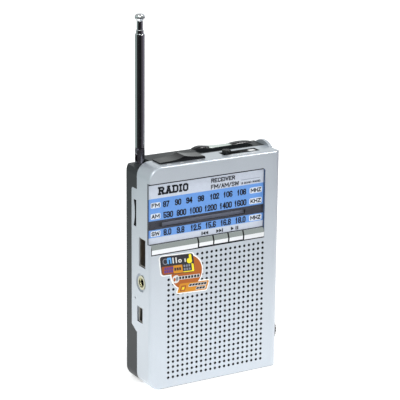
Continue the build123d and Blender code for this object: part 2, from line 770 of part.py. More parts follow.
def make_battery_door():
    """Door over the battery bay, turning on two pins at its lower edge."""
    play = 0.12
    xs = (-door_x + play, door_x - play)
    ys = (door_inner + 0.05, depth)
    door = block(xs, ys, (door_z[0] + play, door_z[1] - play))
    low_edges = door.edges().filter_by(Axis.X).group_by(Axis.Z)[0]
    door = fillet(low_edges, 0.75)
    for index in range(5):
        z = 57.0 + index * 1.6
        door -= block((-6.0, 6.0), (depth - 0.4, depth + 1), (z - 0.4, z + 0.4))
    for side in (-1, 1):
        ends = sorted((side * (door_x - 1.0), side * (door_x + 1.1)))
        door += rod_x(door_pin_radius, ends, door_pin_y, door_pin_z)
    return door


def make_promo_label():
    """Die-cut sticker on the front: a card, a disc and a slanted strip with a pale margin."""
    card = make_face(Polyline(*label_card, close=True))
    card = fillet(card.vertices(), label_corners[0])
    strip = make_face(Polyline(*label_strip, close=True))
    strip = fillet(strip.vertices(), label_corners[1])
    disc = Pos(*label_disc[0]) * Circle(label_disc[1])
    outline = offset(card + disc + strip, label_margin)
    return front_face(outline, -0.12, -0.02)


def main():
    """Write every piece to its own file."""
    pieces = {
        "front_shell": make_front_shell(),
        "back_shell": make_back_shell(),
        "dial_lens": make_dial_lens(),
        "dial_plate": make_dial_plate(),
        "trim_bar": make_trim_bar(),
        "speaker_frame": make_speaker_frame(),
        "speaker_magnet": make_speaker_magnet(),
        "speaker_cone": make_speaker_cone(),
        "main_board": make_main_board(),
        "usb_socket_shell": make_usb_socket_shell(),
        "usb_socket_tongue": make_usb_socket_tongue(),
        "mini_usb_socket": make_mini_usb_socket(),
        "card_socket": make_card_socket(),
        "headphone_jack_body": make_headphone_jack_body(),
        "headphone_jack_ring": make_headphone_jack_ring(),
        "charge_led": make_charge_led(),
        "tuning_capacitor": make_tuning_capacitor(),
        "tuning_wheel": make_tuning_wheel(),
        "tuning_shaft": make_tuning_shaft(),
        "dial_pulleys": make_dial_pulleys(),
        "dial_cord": make_dial_cord(),
        "dial_pointer": make_dial_pointer(),
        "pointer_guide": make_pointer_guide(),
        "volume_pot": make_volume_pot(),
        "volume_wheel": make_volume_wheel(),
        "volume_shaft": make_volume_shaft(),
        "band_switch_plate": make_switch_plate(band_opening, band_slot),
        "band_switch_body": make_switch_body((-20.0, -5.6), band_slot, band_opening[1]),
        "band_switch_knob": make_band_switch_knob(),
        "function_switch_plate": make_switch_plate(function_opening, function_slot),
        "function_switch_body": make_switch_body((6.4, 21.0), function_slot, function_opening[1]),
        "function_switch_knob": make_function_switch_knob(),
        "tact_switches": make_tact_switches(),
        "ferrite_rod": make_ferrite_rod(),
        "ferrite_coil": make_ferrite_coil(),
        "battery": make_battery(),
        "battery_contacts": make_battery_contacts(),
        "battery_door": make_battery_door(),
        "board_chips": make_board_chips(),
        "board_capacitors": make_board_capacitors(),
        "case_screws": make_case_screws(),
        "board_screws": make_board_screws(),
        "antenna_bracket": make_antenna_bracket(),
        "antenna_turret": make_antenna_turret(),
        "antenna_base_screw": make_antenna_base_screw(),
        "antenna_pivot_pin": make_antenna_pivot_pin(),
        "antenna_foot": make_antenna_foot(),
        "antenna_tube_outer": make_tube(0),
        "antenna_tube_middle": make_tube(1),
        "antenna_tube_inner": make_tube(2),
        "antenna_tip_rod": make_antenna_tip_rod(),
        "antenna_tip_cap": make_antenna_tip_cap(),
        "promo_label": make_promo_label(),
    }
    for index, name in enumerate(("previous", "next", "play")):
        pieces[f"button_{name}"] = make_button(index)
    os.makedirs("parts", exist_ok=True)
    for name, piece in pieces.items():
        solid = Compound(children=piece) if isinstance(piece, list) else piece
        export_step(solid, f"parts/{name}.step")


main()
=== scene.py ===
"""Looks of a pocket shortwave receiver: materials, printed dial, label, floor, light and camera."""

import math

import bmesh
import bpy
from mathutils import Matrix, Vector

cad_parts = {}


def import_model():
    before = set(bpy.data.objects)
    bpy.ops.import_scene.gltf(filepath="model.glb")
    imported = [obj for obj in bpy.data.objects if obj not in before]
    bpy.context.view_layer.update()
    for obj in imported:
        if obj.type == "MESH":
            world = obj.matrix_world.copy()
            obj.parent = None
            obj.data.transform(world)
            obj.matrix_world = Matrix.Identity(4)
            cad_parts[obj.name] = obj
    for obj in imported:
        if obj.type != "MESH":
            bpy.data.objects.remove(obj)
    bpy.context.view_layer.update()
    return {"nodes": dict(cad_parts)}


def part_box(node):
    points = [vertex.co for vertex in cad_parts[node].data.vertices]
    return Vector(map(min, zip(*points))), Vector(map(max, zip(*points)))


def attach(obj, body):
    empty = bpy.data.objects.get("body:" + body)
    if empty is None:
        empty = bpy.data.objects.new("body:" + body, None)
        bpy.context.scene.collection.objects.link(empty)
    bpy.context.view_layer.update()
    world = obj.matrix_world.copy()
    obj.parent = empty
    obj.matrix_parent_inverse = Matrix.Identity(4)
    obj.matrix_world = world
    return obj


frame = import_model()
nodes = frame["nodes"]

MM = 0.001

# ---------------------------------------------------------------------------
# Places taken from the frame
# ---------------------------------------------------------------------------
plate_low, plate_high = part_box("dial_plate")
lens_low, lens_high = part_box("dial_lens")
shell_low, shell_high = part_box("front_shell")
label_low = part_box("promo_label")[0]
front_y = -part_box("back_shell")[1].y              # the plane of the front face
shell_top_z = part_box("function_switch_plate")[1].z + 0.15 * MM


# ---------------------------------------------------------------------------
# Node helpers
# ---------------------------------------------------------------------------
class Look:
    """A material with a Principled shader and short calls for the nodes that feed it."""

    def __init__(self, name):
        self.material = bpy.data.materials.new(name)
        self.material.use_nodes = True
        self.tree = self.material.node_tree
        self.shader = self.tree.nodes["Principled BSDF"]
        self.output = self.tree.nodes["Material Output"]

    def set(self, **values):
        names = {
            "color": "Base Color", "metallic": "Metallic", "roughness": "Roughness",
            "specular": "Specular IOR Level", "coat": "Coat Weight",
            "coat_roughness": "Coat Roughness",
        }
        for key, value in values.items():
            if key == "color":
                value = (*value, 1.0)
            self.shader.inputs[names[key]].default_value = value
        return self

    def node(self, kind, **values):
        made = self.tree.nodes.new(kind)
        for key, value in values.items():
            if hasattr(made, key):
                setattr(made, key, value)
            else:
                made.inputs[key.replace("_", " ")].default_value = value
        return made

    def link(self, source, target):
        self.tree.links.new(source, target)

    def place(self):
        """Object coordinates, in metres."""
        return self.node("ShaderNodeTexCoord").outputs["Object"]

    def noise(self, scale, detail=3.0, roughness=0.5, stretch=None):
        made = self.node("ShaderNodeTexNoise", Scale=scale, Detail=detail, Roughness=roughness)
        source = self.place()
        if stretch:
            mapping = self.node("ShaderNodeMapping")
            mapping.inputs["Scale"].default_value = stretch
            self.link(source, mapping.inputs["Vector"])
            source = mapping.outputs["Vector"]
        self.link(source, made.inputs["Vector"])
        return made.outputs["Fac"]

    def spread(self, source, low, high, from_low=0.0, from_high=1.0):
        """A value carried from one range to another."""
        made = self.node("ShaderNodeMapRange")
        made.inputs["From Min"].default_value = from_low
        made.inputs["From Max"].default_value = from_high
        made.inputs["To Min"].default_value = low
        made.inputs["To Max"].default_value = high
        self.link(source, made.inputs["Value"])
        return made.outputs["Result"]

    def blend(self, factor, first, second):
        """A colour between two others."""
        made = self.node("ShaderNodeMix", data_type="RGBA")
        self.link(factor, made.inputs["Factor"])
        made.inputs["A"].default_value = (*first, 1.0)
        made.inputs["B"].default_value = (*second, 1.0)
        return made.outputs["Result"]

    def vary_color(self, factor, first, second):
        self.link(self.blend(factor, first, second), self.shader.inputs["Base Color"])
        return self

    def vary_roughness(self, factor, low, high):
        self.link(self.spread(factor, low, high), self.shader.inputs["Roughness"])
        return self

    def bump(self, height, strength, distance):
        made = self.node("ShaderNodeBump", Strength=strength, Distance=distance)
        self.link(height, made.inputs["Height"])
        self.link(made.outputs["Normal"], self.shader.inputs["Normal"])
        return self


def srgb(red, green, blue):
    """A colour given in 0 to 255 display values, as linear light."""
    def linear(value):
        value /= 255.0
        return value / 12.92 if value <= 0.04045 else ((value + 0.055) / 1.055) ** 2.4
    return (linear(red), linear(green), linear(blue))


# ---------------------------------------------------------------------------
# Materials
# ---------------------------------------------------------------------------
def silver_paint():
    """Fine metallic paint: flakes, a faint orange peel and soft handling marks."""
    look = Look("silver_paint").set(metallic=0.5, roughness=0.36, coat=0.6, coat_roughness=0.1)
    flakes = look.noise(9000.0, detail=2.0)
    patches = look.noise(55.0, detail=4.0)
    mixed = look.node("ShaderNodeMath", operation="ADD")
    look.link(look.spread(flakes, 0.0, 0.75, 0.25, 0.75), mixed.inputs[0])
    look.link(look.spread(patches, 0.0, 0.25, 0.3, 0.7), mixed.inputs[1])
    look.vary_color(mixed.outputs[0], srgb(186, 193, 201), srgb(204, 211, 219))
    look.vary_roughness(patches, 0.32, 0.42)
    return look.bump(flakes, 0.12, 0.00002).material


def charcoal_plastic():
    """Charcoal moulded plastic with a fine eroded texture."""
    look = Look("charcoal_plastic").set(roughness=0.46, specular=0.42)
    grain = look.noise(4200.0, detail=3.0)
    patches = look.noise(40.0, detail=4.0)
    look.vary_color(patches, srgb(30, 34, 36), srgb(38, 42, 45))
    look.vary_roughness(patches, 0.38, 0.52)
    return look.bump(grain, 0.25, 0.00004).material


def knob_plastic():
    """Blacker, smoother plastic of the knobs."""
    look = Look("knob_plastic").set(roughness=0.2, specular=0.32)
    grain = look.noise(3000.0, detail=2.0)
    look.vary_color(grain, srgb(14, 14, 16), srgb(22, 23, 26))
    look.vary_roughness(look.noise(90.0), 0.14, 0.24)
    return look.bump(grain, 0.12, 0.00003).material


def chrome(name="chrome", low=0.05, high=0.14, stretch=None):
    """Bright plating with faint polishing marks."""
    look = Look(name).set(metallic=1.0, color=srgb(226, 228, 230))
    marks = look.noise(700.0, detail=5.0, stretch=stretch)
    look.vary_roughness(marks, low, high)
    return look.bump(marks, 0.03, 0.00001).material


def plated_steel():
    """Dull tin-plated sheet."""
    look = Look("plated_steel").set(metallic=1.0, color=srgb(190, 188, 182))
    marks = look.noise(900.0, detail=4.0)
    look.vary_roughness(marks, 0.22, 0.4)
    return look.bump(marks, 0.08, 0.00002).material


def brass():
    """Bare brass, faintly dulled."""
    look = Look("brass_contact").set(metallic=1.0, color=srgb(214, 178, 96))
    look.vary_roughness(look.noise(800.0), 0.2, 0.34)
    return look.material


def clear_lens():
    """Clear acrylic: see-through, with a gloss on its outer faces that grows at a shallow angle."""
    look = Look("clear_lens")
    look.tree.nodes.remove(look.shader)
    clear = look.node("ShaderNodeBsdfTransparent")
    clear.inputs["Color"].default_value = (0.98, 0.99, 1.0, 1.0)
    gloss = look.node("ShaderNodeBsdfGlossy")
    gloss.inputs["Roughness"].default_value = 0.03
    fresnel = look.node("ShaderNodeFresnel")
    fresnel.inputs["IOR"].default_value = 1.3
    outer = look.node("ShaderNodeMath", operation="SUBTRACT")
    outer.inputs[0].default_value = 1.0
    look.link(look.node("ShaderNodeNewGeometry").outputs["Backfacing"], outer.inputs[1])
    share = look.node("ShaderNodeMath", operation="MULTIPLY")
    look.link(fresnel.outputs["Fac"], share.inputs[0])
    look.link(outer.outputs[0], share.inputs[1])
    mix = look.node("ShaderNodeMixShader")
    look.link(share.outputs[0], mix.inputs["Fac"])
    look.link(clear.outputs["BSDF"], mix.inputs[1])
    look.link(gloss.outputs["BSDF"], mix.inputs[2])
    look.link(mix.outputs["Shader"], look.output.inputs["Surface"])
    return look.material


def ink(name, color, other=None, roughness=0.42):
    """Printed ink with a slight unevenness."""
    look = Look(name).set(roughness=roughness, specular=0.4)
    other = other or tuple(min(1.0, c * 1.12 + 0.004) for c in color)
    look.vary_color(look.noise(600.0, detail=4.0), color, other)
    return look.bump(look.noise(5000.0), 0.05, 0.00001).material


def board_green():
    """Solder mask over copper tracks."""
    look = Look("board_green").set(roughness=0.34)
    tracks = look.node("ShaderNodeTexWave", Scale=260.0, Distortion=6.0, Detail=2.0)
    look.link(look.place(), tracks.inputs["Vector"])
    step = look.spread(tracks.outputs["Fac"], 0.0, 1.0, 0.45, 0.6)
    look.vary_color(step, srgb(18, 62, 36), srgb(34, 96, 56))
    return look.bump(step, 0.2, 0.00003).material


def plain(name, dark, light, low=0.35, high=0.5, scale=500.0, metallic=0.0, specular=0.5):
    """A quiet two-tone material for small inner parts."""
    look = Look(name).set(metallic=metallic, specular=specular)
    grain = look.noise(scale, detail=4.0)
    look.vary_color(grain, dark, light)
    look.vary_roughness(grain, low, high)
    return look.bump(grain, 0.1, 0.00003).material


SILVER = silver_paint()
CHARCOAL = charcoal_plastic()
KNOB = knob_plastic()
CHROME = chrome()
ANTENNA = chrome("antenna_chrome", 0.04, 0.1, (1.0, 1.0, 0.04))
STEEL = plated_steel()
BRASS = brass()
LENS = clear_lens()

finishes = {
    SILVER: ("front_shell",),
    CHARCOAL: ("back_shell", "battery_door"),
    plain("matte_black", srgb(5, 5, 6), srgb(10, 10, 11), 0.55, 0.7, specular=0.15): (
        "band_switch_plate", "function_switch_plate"),
    KNOB: ("band_switch_knob", "function_switch_knob", "tuning_wheel", "volume_wheel",
           "dial_pulleys", "headphone_jack_body", "volume_pot"),
    CHROME: ("trim_bar", "button_previous", "button_next", "button_play"),
    plain("nickel", srgb(196, 194, 168), srgb(214, 212, 188), 0.14, 0.24, 900.0, 1.0): (
        "headphone_jack_ring",),
    ANTENNA: ("antenna_tube_outer", "antenna_tube_middle", "antenna_tube_inner", "antenna_tip_rod",
              "antenna_tip_cap"),
    # Painted shade: a darker copy of the chrome on the antenna joint, which lies in shade.
    plain("joint_plating_painted_shade", srgb(112, 110, 118), srgb(128, 126, 134), 0.16, 0.26, 700.0, 1.0): (
        "antenna_foot", "antenna_turret", "antenna_pivot_pin"),
    STEEL: ("usb_socket_shell", "mini_usb_socket", "card_socket", "band_switch_body",
            "function_switch_body", "case_screws", "board_screws", "antenna_base_screw"),
    BRASS: ("antenna_bracket", "battery_contacts", "tuning_shaft", "volume_shaft"),
    LENS: ("dial_lens",),
    ink("plate_print", srgb(196, 199, 208)): ("dial_plate",),
    board_green(): ("main_board",),
    plain("black_nylon", srgb(22, 22, 24), srgb(34, 34, 37)): ("tact_switches", "board_chips"),
    plain("tongue_nylon", srgb(112, 98, 74), srgb(134, 118, 90), 0.3, 0.45): ("usb_socket_tongue",),
    plain("lamp_lens", srgb(70, 74, 76), srgb(86, 90, 92), 0.06, 0.1): ("charge_led",),
    plain("milky_case", srgb(206, 204, 196), srgb(224, 222, 214)): (
        "tuning_capacitor", "board_capacitors"),
    plain("thread", srgb(180, 172, 150), srgb(206, 198, 176), 0.7, 0.9, 4000.0): ("dial_cord",),
    plain("pointer_plastic", srgb(40, 40, 46), srgb(56, 56, 62)): ("dial_pointer",),
    plain("guide_plastic", srgb(146, 148, 166), srgb(156, 158, 176)): ("pointer_guide",),
    plain("pressed_steel", srgb(120, 122, 124), srgb(140, 142, 144), 0.3, 0.45, 700.0, 1.0): (
        "speaker_frame",),
    plain("ferrite_black", srgb(26, 26, 28), srgb(44, 44, 46), 0.5, 0.7): (
        "ferrite_rod", "speaker_magnet"),
    plain("cone_pulp", srgb(20, 20, 21), srgb(34, 33, 32), 0.7, 0.9, 1500.0): ("speaker_cone",),
    plain("enamelled_copper", srgb(150, 78, 40), srgb(186, 104, 58), 0.25, 0.4, 3000.0, 1.0): (
        "ferrite_coil",),
    plain("cell_wrap", srgb(38, 52, 92), srgb(50, 66, 108), 0.3, 0.4): ("battery",),
    plain("label_margin", srgb(236, 236, 234), srgb(248, 248, 246), 0.3, 0.4): ("promo_label",),
}
for material, names in finishes.items():
    for name in names:
        mesh = nodes[name].data
        mesh.materials.clear()
        mesh.materials.append(material)


# ---------------------------------------------------------------------------
# Second materials, on the faces of a part that lie in a given place
# ---------------------------------------------------------------------------
CORNER = 9.0 * MM                 # radius of the case's rounded left corners


def outline_depth(x, z):
    """How far a point lies inside the front shell's outline."""
    half_x, half_z = (shell_high.x - shell_low.x) / 2, shell_top_z / 2
    along = abs(x - (shell_high.x + shell_low.x) / 2) - half_x + CORNER
    up = abs(z - half_z) - half_z + CORNER
    beyond = math.hypot(max(along, 0.0), max(up, 0.0)) + min(max(along, up), 0.0)
    return CORNER - beyond


def repaint(name, material, chosen):
    """Another material on the faces of a part that the rule picks, by their place and normal."""
    body = nodes[name]
    body.data.materials.append(material)
    slot = len(body.data.materials) - 1
    for polygon in body.data.polygons:
        centre = body.matrix_world @ polygon.center
        if chosen(centre, polygon.normal):
            polygon.material_index = slot


# Painted shade: near-black on the front shell's hole walls, openings and inside, partly its bare
# unpainted plastic.
INSIDE_SHADE = plain("bare_plastic_painted_shade", srgb(16, 17, 20), srgb(24, 26, 30), 0.6, 0.8)
# Painted shade and reflection: blue-grey on the wall at the right end of the dial window.
WINDOW_END_SHADE = plain("window_end_painted_shade", srgb(58, 74, 104), srgb(72, 90, 122), 0.3, 0.4)
# Painted reflection: a pale colour on the black rear ridge's dip, where the gloss catches the
# bright studio.
PAINTED_REFLECTION = plain("painted_reflection_pale", srgb(196, 208, 202), srgb(214, 224, 218), 0.12, 0.2)
# Painted shade: near-black on the edges of the dial plate and the sides and undersides of the trim
# bar and buttons.
PAINTED_GAP_SHADE = plain("painted_gap_shade", srgb(8, 9, 10), srgb(14, 15, 17), 0.5, 0.7)
GRILLE_HALF_WIDTH, GRILLE_TOP = 27.0 * MM, 64.0 * MM
GRILLE_DEPTH = 0.3 * MM           # depth from which a grille hole's wall is dark
JACK_Y, JACK_Z, JACK_REACH = front_y + 8.2 * MM, 50.5 * MM, 4.6 * MM
JACK_RECESS = 1.2 * MM
CARD_SLOT_Z = (75.0 * MM, 90.0 * MM)
CARD_SLOT_SUNK = (0.15 * MM, 2.5 * MM)
CARD_SLOT_Y = front_y + 11.0 * MM
FRONT_SKIN, SIDE_SKIN = 0.05 * MM, 0.15 * MM     # what still counts as the outer surface
WINDOW_DEPTH, WINDOW_REACH = 2.0 * MM, 0.6 * MM  # extent of the dial window's end wall
RIDGE_Y = front_y + 18.0 * MM     # where the ridge at the rear of the top begins
RIDGE_END_X = 32.0 * MM
DIP_X = (7.0 * MM, 18.6 * MM)


def inside_front(place, normal):
    """Faces of the front shell within its openings, its grille holes and its inside, which get a
    near-black colour: painted shade, partly the bare plastic there.
    """
    depth = place.y - front_y
    sunk = place.x - shell_low.x
    if abs(place.x) < GRILLE_HALF_WIDTH and place.z < GRILLE_TOP and depth > GRILLE_DEPTH:
        return True
    if math.hypot(place.y - JACK_Y, place.z - JACK_Z) < JACK_REACH and sunk < JACK_RECESS:
        return False
    if (CARD_SLOT_Z[0] < place.z < CARD_SLOT_Z[1] and place.y > CARD_SLOT_Y
            and CARD_SLOT_SUNK[0] < sunk < CARD_SLOT_SUNK[1]):
        return True
    return (normal.y > -0.1 and depth > FRONT_SKIN
            and outline_depth(place.x, place.z) > SIDE_SKIN)


def window_end_painted_shade(place, normal):
    """The wall at the right end of the dial window, painted blue-grey as shade with a reflection of
    the blue print.
    """
    return (normal.x < -0.5 and place.z > plate_low.z and place.y < front_y + WINDOW_DEPTH
            and abs(place.x - lens_high.x) < WINDOW_REACH)


def ridge(place, _):
    """The ridge at the rear of the top."""
    return place.z > shell_top_z and place.y > RIDGE_Y and place.x < RIDGE_END_X


def ridge_top(place, _):
    """The smooth dip along the ridge at the rear of the top, painted pale as a reflection on the
    black plastic.
    """
    return DIP_X[0] < place.x < DIP_X[1] and place.z > shell_top_z and place.y > RIDGE_Y


repaint("front_shell", INSIDE_SHADE, inside_front)
repaint("front_shell", WINDOW_END_SHADE, window_end_painted_shade)
repaint("back_shell", KNOB, ridge)
repaint("back_shell", PAINTED_REFLECTION, ridge_top)
# Painted shade in the gaps between the dial plate, trim bar and buttons.
repaint("dial_plate", PAINTED_GAP_SHADE, lambda _, normal: abs(normal.y) < 0.5)
for name in ("trim_bar", "button_previous", "button_next", "button_play"):
    repaint(name, PAINTED_GAP_SHADE, lambda _, normal: abs(normal.x) > 0.8 or normal.z < -0.8)


# ---------------------------------------------------------------------------
# Thin printed sheets and letters, drawn in millimetres
# ---------------------------------------------------------------------------
PRINT_THICKNESS = 0.02
WELD = 0.001


def on_front(y):
    """Places on an upright plane that faces the front: x to the right, then height."""
    return lambda x, z: (x * MM, y, z * MM), Vector((0, -1, 0))


def on_top(z):
    """Places on a level plane: x to the right, then depth behind the front face."""
    return lambda x, y: (x * MM, front_y + y * MM, z), Vector((0, 0, 1))


def on_left(x):
    """Places on the left side: depth behind the front face, then height."""
    return lambda y, z: (x, front_y + y * MM, z * MM), Vector((-1, 0, 0))


def raise_faces(name, mesh, outward, material, thickness):
    """A closed piece of the case, made by raising a mesh's flat faces."""
    raised = bmesh.ops.extrude_face_region(mesh, geom=mesh.faces[:])
    moved = [item for item in raised["geom"] if isinstance(item, bmesh.types.BMVert)]
    bmesh.ops.translate(mesh, verts=moved, vec=outward * thickness * MM)
    bmesh.ops.recalc_face_normals(mesh, faces=mesh.faces)
    data = bpy.data.meshes.new(name)
    mesh.to_mesh(data)
    mesh.free()
    piece = bpy.data.objects.new(name, data)
    bpy.context.scene.collection.objects.link(piece)
    data.materials.append(material)
    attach(piece, "case")


def print_shape(name, outline, plane, material, thickness=PRINT_THICKNESS):
    """A thin sheet with the given outline, raised from the plane."""
    place, outward = plane
    mesh = bmesh.new()
    mesh.faces.new([mesh.verts.new(place(u, v)) for u, v in outline])
    raise_faces(name, mesh, outward, material, thickness)


def bar(u0, u1, v0, v1):
    """Corners of a rectangle."""
    return [(u1, v0), (u1, v1), (u0, v1), (u0, v0)]


def rounded(u0, u1, v0, v1, radius, steps=5):
    """Points of a rounded rectangle."""
    points = []
    corners = ((u1 - radius, v1 - radius, 0), (u0 + radius, v1 - radius, 90),
               (u0 + radius, v0 + radius, 180), (u1 - radius, v0 + radius, 270))
    for u, v, start in corners:
        for step in range(steps + 1):
            angle = math.radians(start + 90 * step / steps)
            points.append((u + radius * math.cos(angle), v + radius * math.sin(angle)))
    return points


def ellipse(u, v, half_u, half_v, steps=40):
    """Points of an ellipse."""
    turns = [2 * math.pi * step / steps for step in range(steps)]
    return [(u + half_u * math.cos(turn), v + half_v * math.sin(turn)) for turn in turns]


# Letters as strokes on a grid four wide and six high; each pair of digits is one point.
GLYPHS = {
    "0": ("01 05 16 36 45 41 30 10 01",), "1": ("14 26 20",), "2": ("04 05 16 36 45 44 00 40",),
    "3": ("05 16 36 45 44 33 42 41 30 10 01", "13 33"), "4": ("30 36 02 42",),
    "5": ("46 06 03 33 42 41 30 10 01",), "6": ("45 36 16 05 01 10 30 41 42 33 03",),
    "7": ("06 46 10",), "8": ("13 04 05 16 36 45 44 33 13 02 01 10 30 41 42 33",),
    "9": ("01 10 30 41 45 36 16 05 04 13 43",), ".": ("00 10",), "/": ("00 36",),
    "A": ("00 26 40", "12 32"), "B": ("00 06 36 45 44 33 03", "33 42 41 30 00"),
    "C": ("45 36 16 05 01 10 30 41",), "D": ("00 06 36 45 41 30 00",),
    "E": ("46 06 00 40", "03 33"), "F": ("00 06 46", "03 33"),
    "H": ("00 06", "40 46", "03 43"), "I": ("00 06",),
    "K": ("00 06", "46 02", "13 40"), "M": ("00 06 32 66 60",), "N": ("00 06 40 46",),
    "O": ("01 05 16 36 45 41 30 10 01",), "R": ("00 06 36 45 44 33 03", "23 40"),
    "S": ("45 36 16 05 04 13 33 42 41 30 10 01",), "U": ("06 01 10 30 41 46",),
    "V": ("06 20 46",), "W": ("06 10 35 50 66",), "Z": ("06 46 00 40",),
}


def runs(points):
    """The points cut into runs wherever the line turns back sharply."""
    parts = [[points[0]]]
    for before, point, after in zip(points, points[1:], points[2:]):
        parts[-1].append(point)
        if (point - before).dot(after - point) < 0:
            parts.append([point])
    parts[-1].append(points[-1])
    return parts


def ribbon(points, width):
    """Four-sided pieces of a stroke along the points, mitred at its corners, square at its ends."""
    closed = points[0] == points[-1]
    if closed:
        points = points[:-1]
    else:
        first = (points[0] - points[1]).normalized() * width / 2
        last = (points[-1] - points[-2]).normalized() * width / 2
        points = [points[0] + first, *points[1:-1], points[-1] + last]
    count = len(points)
    edges = []
    for index, point in enumerate(points):
        ways = []
        if closed or index > 0:
            ways.append((point - points[index - 1]).normalized())
        if closed or index < count - 1:
            ways.append((points[(index + 1) % count] - point).normalized())
        along = (ways[0] + ways[-1]).normalized()
        across = Vector((-along.y, along.x))
        square = Vector((-ways[0].y, ways[0].x))
        reach = width / 2 / across.dot(square)
        edges.append((point + across * reach, point - across * reach))
    if closed:
        edges.append(edges[0])
    return [(a, c, d, b) for (a, b), (c, d) in zip(edges, edges[1:])]


# Sizes in steps of the glyph grid.
GLYPH_HEIGHT = 6
LETTER_GAP, SERIF_LETTER_GAP = 1.9, 3.1
DIGIT_REACH, SPACE_REACH = 4.0, 2.0
SERIF = 0.85


def lettering(name, text, middle, size, plane, material, weight, serifs=False):
    """Printed letters about a middle, with an overall width and height and a stroke weight."""
    strokes, start = [], 0.0
    gap = SERIF_LETTER_GAP if serifs else LETTER_GAP
    for letter in text:
        lines = [[Vector((int(pair[0]), int(pair[1]))) for pair in line.split()]
                 for line in GLYPHS.get(letter, ())]
        for line in lines:
            strokes += runs([point + Vector((start, 0)) for point in line])
        reach = max((point.x for line in lines for point in line), default=SPACE_REACH)
        start += (DIGIT_REACH if letter.isdigit() else reach) + gap
    if serifs:
        for line in list(strokes):
            feet = [line[0], line[-1]]
            for first, second in zip(line, line[1:]):
                if first.x == second.x:
                    feet += [first, second]
            for foot in feet:
                if foot.y in (0, GLYPH_HEIGHT):
                    strokes.append([foot - Vector((SERIF, 0)), foot + Vector((SERIF, 0))])
    total = start - gap
    scale = Vector(((size[0] - weight) / total, (size[1] - weight) / GLYPH_HEIGHT))
    corner = Vector(middle) - Vector((total * scale.x, GLYPH_HEIGHT * scale.y)) / 2
    place, outward = plane
    mesh = bmesh.new()
    for line in strokes:
        line = [corner + Vector((point.x * scale.x, point.y * scale.y)) for point in line]
        for piece in ribbon(line, weight):
            mesh.faces.new([mesh.verts.new(place(point.x, point.y)) for point in piece])
    bmesh.ops.remove_doubles(mesh, verts=mesh.verts, dist=WELD * MM)
    raise_faces(name, mesh, outward, material, PRINT_THICKNESS)


# ---------------------------------------------------------------------------
# Dial print
# ---------------------------------------------------------------------------
BLUE_INK = ink("blue_ink", srgb(100, 148, 212))
BLACK_INK = ink("black_ink", srgb(46, 46, 56))
LETTER_INK = ink("letter_ink", srgb(10, 11, 24))
BOX_INK = ink("label_box_ink", srgb(214, 217, 224))
EDGE_LINE = ink("rule_ink", srgb(120, 124, 140))

BAND_LIFT, BOX_LIFT, LETTER_LIFT = 0.01 * MM, 0.045 * MM, 0.08 * MM     # proud of the plate
PLATE_MARGIN = 0.02
band_plane = on_front(plate_low.y - BAND_LIFT)
box_plane = on_front(plate_low.y - BOX_LIFT)
letter_plane = on_front(plate_low.y - LETTER_LIFT)
dial_left = plate_low.x / MM + PLATE_MARGIN
dial_right = plate_high.x / MM - PLATE_MARGIN

# Painted shadow: a dark strip on the plate along the top of the window, where the lens edge shades
# it.
SHADOW_LINE_Z = (97.75, 98.5)
BLUE_TOP = 91.5
BLUE_BOTTOM = 81.2
BLACK_BOTTOM = 77.0
LOWER_BLUE_BOTTOM = 73.4
SLOT_X = (-29.0, 16.0)
SLOT_Z = (78.0, 79.9)

for name, x0, x1, z0, z1, material in (
    ("blue_band_upper", dial_left, dial_right, BLUE_BOTTOM, BLUE_TOP, BLUE_INK),
    ("blue_band_lower", dial_left, dial_right, LOWER_BLUE_BOTTOM, BLACK_BOTTOM, BLUE_INK),
    ("black_band_over_slot", dial_left, dial_right, SLOT_Z[1], BLUE_BOTTOM, BLACK_INK),
    ("black_band_under_slot", dial_left, dial_right, BLACK_BOTTOM, SLOT_Z[0], BLACK_INK),
    ("black_band_left", dial_left, SLOT_X[0], *SLOT_Z, BLACK_INK),
    ("black_band_right", SLOT_X[1], dial_right, *SLOT_Z, BLACK_INK),
    # painted shadow along the top of the window
    ("painted_shadow_line", dial_left, dial_right, *SHADOW_LINE_Z, LETTER_INK),
):
    print_shape(name, bar(x0, x1, z0, z1), band_plane, material)

DIGIT_WIDTH = 1.66
POINT_WIDTH = 0.7
BOX_RADIUS = 0.6
# Each row: band name, unit, height of its middle, height of its digits, and its numbers with
# the places of their middles.
rows = {
    "fm": ("FM", "MHZ", 88.4, 2.8,
           (("87", -25.7), ("90", -19.6), ("94", -13.8), ("98", -7.7), ("102", -0.6),
            ("106", 6.5), ("108", 13.8))),
    "am": ("AM", "KHZ", 83.3, 2.9,
           (("530", -24.6), ("800", -17.8), ("1000", -10.4), ("1200", -2.6), ("1400", 5.4),
            ("1600", 13.2))),
    "sw": ("SW", "MHZ", 75.2, 2.9,
           (("8.0", -25.0), ("9.8", -18.2), ("12.5", -10.3), ("15.6", -2.5), ("16.8", 5.5),
            ("18.0", 13.4))),
}
for row, (band_name, unit, z, height, numbers) in rows.items():
    for part, ends, half in (("name", (-33.6, -28.6), 1.3), ("unit", (18.2, 24.9), 1.4)):
        box = rounded(*ends, z - half, z + half, BOX_RADIUS)
        print_shape(f"{row}_{part}_box", box, box_plane, BOX_INK)
    lettering(f"{row}_name", band_name, (-31.1, z), (4.1, 1.9), letter_plane, LETTER_INK, 0.42)
    lettering(f"{row}_unit", unit, (21.55, z), (5.6, 1.95), letter_plane, LETTER_INK, 0.44)
    for text, x in numbers:
        points = text.count(".")
        width = DIGIT_WIDTH * (len(text) - points) + POINT_WIDTH * points
        label = text.replace(".", "_")
        lettering(f"{row}_{label}", text, (x, z), (width, height), letter_plane, LETTER_INK, 0.56)

